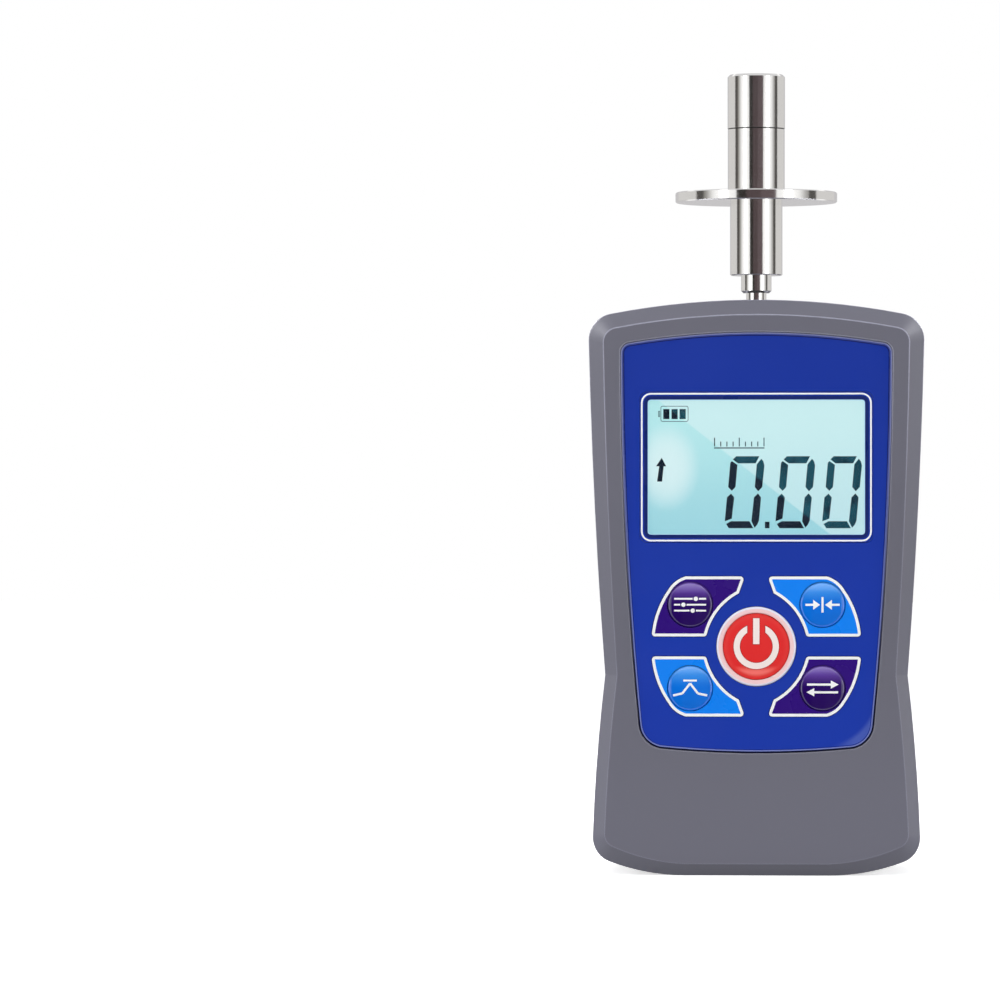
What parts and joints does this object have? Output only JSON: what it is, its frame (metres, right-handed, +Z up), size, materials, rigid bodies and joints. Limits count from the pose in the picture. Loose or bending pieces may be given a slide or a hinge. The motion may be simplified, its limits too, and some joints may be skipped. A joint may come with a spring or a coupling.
{
  "type": "fruit penetrometer",
  "caption": "Hand-held digital fruit penetrometer: waisted two-shell housing, display, keypad, and a steel probe with stop disc on an internal load cell.",
  "frame": {"origin": "middle of the flat foot that it stands on, under the probe's axis", "axes": "+Z up along the probe, -Y out of the display's face, +X to the reader's right"},
  "size_m": [0.0652, 0.036, 0.1566],
  "materials": {
    "housing_grey": "fine matt moulding, blue-grey",
    "faceplate_blue": "satin printed polycarbonate",
    "window_clear": "clear window",
    "ring_pale": "pale glossy ring",
    "lcd_glass": "lit liquid-crystal panel",
    "diffuser_white": "translucent light box",
    "rubber_grey": "contact rubber",
    "rubber_black": "soft seal",
    "plastic_black": "moulded",
    "plastic_white": "moulded socket",
    "board_green": "solder mask",
    "nickel": "nickel plate",
    "zinc_steel": "zinc plate",
    "black_steel": "black oxide",
    "cell_aluminium": "machined",
    "brass": "machined",
    "polished_steel": "polished stainless steel",
    "key_purple": "glossy",
    "key_blue": "glossy",
    "key_red": "glossy",
    "battery_jacket": "printed jacket"
  },
  "bodies": {
    "housing": {"front_shell": "housing_grey", "rear_shell": "housing_grey", "faceplate": "faceplate_blue", "display_window": "window_clear", "power_key_ring": "ring_pale", "mounting_inserts": "brass", "lcd_panel": "lcd_glass", "lcd_backlight": "diffuser_white", "lcd_contact_strips": "rubber_grey", "lcd_frame": "plastic_black", "key_switches": "plastic_black", "main_board": "board_green", "controller_chip": "plastic_black", "amplifier_chip": "plastic_black", "load_cell_socket": "plastic_white", "battery_socket": "plastic_white", "sounder": "plastic_black", "crystal": "nickel", "board_screws": "zinc_steel", "bracket_screws": "zinc_steel", "housing_screws": "black_steel", "load_cell_bracket": "zinc_steel", "load_cell_bolt": "black_steel", "load_cell": "cell_aluminium", "battery_contact_plates": "nickel", "battery_springs": "nickel", "shaft_seal": "rubber_black", "battery_cell_1": "battery_jacket", "battery_cell_2": "battery_jacket", "battery_cell_3": "battery_jacket", "battery_cell_4": "battery_jacket"},
    "probe": {"load_shaft": "polished_steel", "probe_adapter": "polished_steel", "stop_disc": "polished_steel", "probe_stem": "polished_steel", "measuring_tip": "polished_steel"},
    "set_key": {"set_key": "key_purple", "set_switch_plunger": "plastic_black"},
    "zero_key": {"zero_key": "key_blue", "zero_switch_plunger": "plastic_black"},
    "peak_key": {"peak_key": "key_blue", "peak_switch_plunger": "plastic_black"},
    "unit_key": {"unit_key": "key_purple", "unit_switch_plunger": "plastic_black"},
    "power_key": {"power_key": "key_red", "power_switch_plunger": "plastic_black"},
    "battery_door": {"battery_door": "housing_grey"}
  },
  "joints": [
    {"name": "probe_press", "type": "slide", "parent": "housing", "child": "probe", "axis": [0, 0, 1], "range_m": [-0.0003, 0], "stiffness_N_per_m": 4000, "springref_m": 0.0004, "deforming": ["load_cell"]},
    {"name": "set_key_press", "type": "slide", "parent": "housing", "child": "set_key", "axis": [0, 1, 0], "range_m": [0, 0.00035], "stiffness_N_per_m": 200, "springref_m": -0.0005},
    {"name": "zero_key_press", "type": "slide", "parent": "housing", "child": "zero_key", "axis": [0, 1, 0], "range_m": [0, 0.00035], "stiffness_N_per_m": 200, "springref_m": -0.0005},
    {"name": "peak_key_press", "type": "slide", "parent": "housing", "child": "peak_key", "axis": [0, 1, 0], "range_m": [0, 0.00035], "stiffness_N_per_m": 200, "springref_m": -0.0005},
    {"name": "unit_key_press", "type": "slide", "parent": "housing", "child": "unit_key", "axis": [0, 1, 0], "range_m": [0, 0.00035], "stiffness_N_per_m": 200, "springref_m": -0.0005},
    {"name": "power_key_press", "type": "slide", "parent": "housing", "child": "power_key", "axis": [0, 1, 0], "range_m": [0, 0.00035], "stiffness_N_per_m": 200, "springref_m": -0.0005},
    {"name": "battery_door_swing", "type": "hinge", "parent": "housing", "child": "battery_door", "pos_m": [0, 0.018, 0.0065], "axis": [-1, 0, 0], "range_deg": [0, 50]}
  ]
}
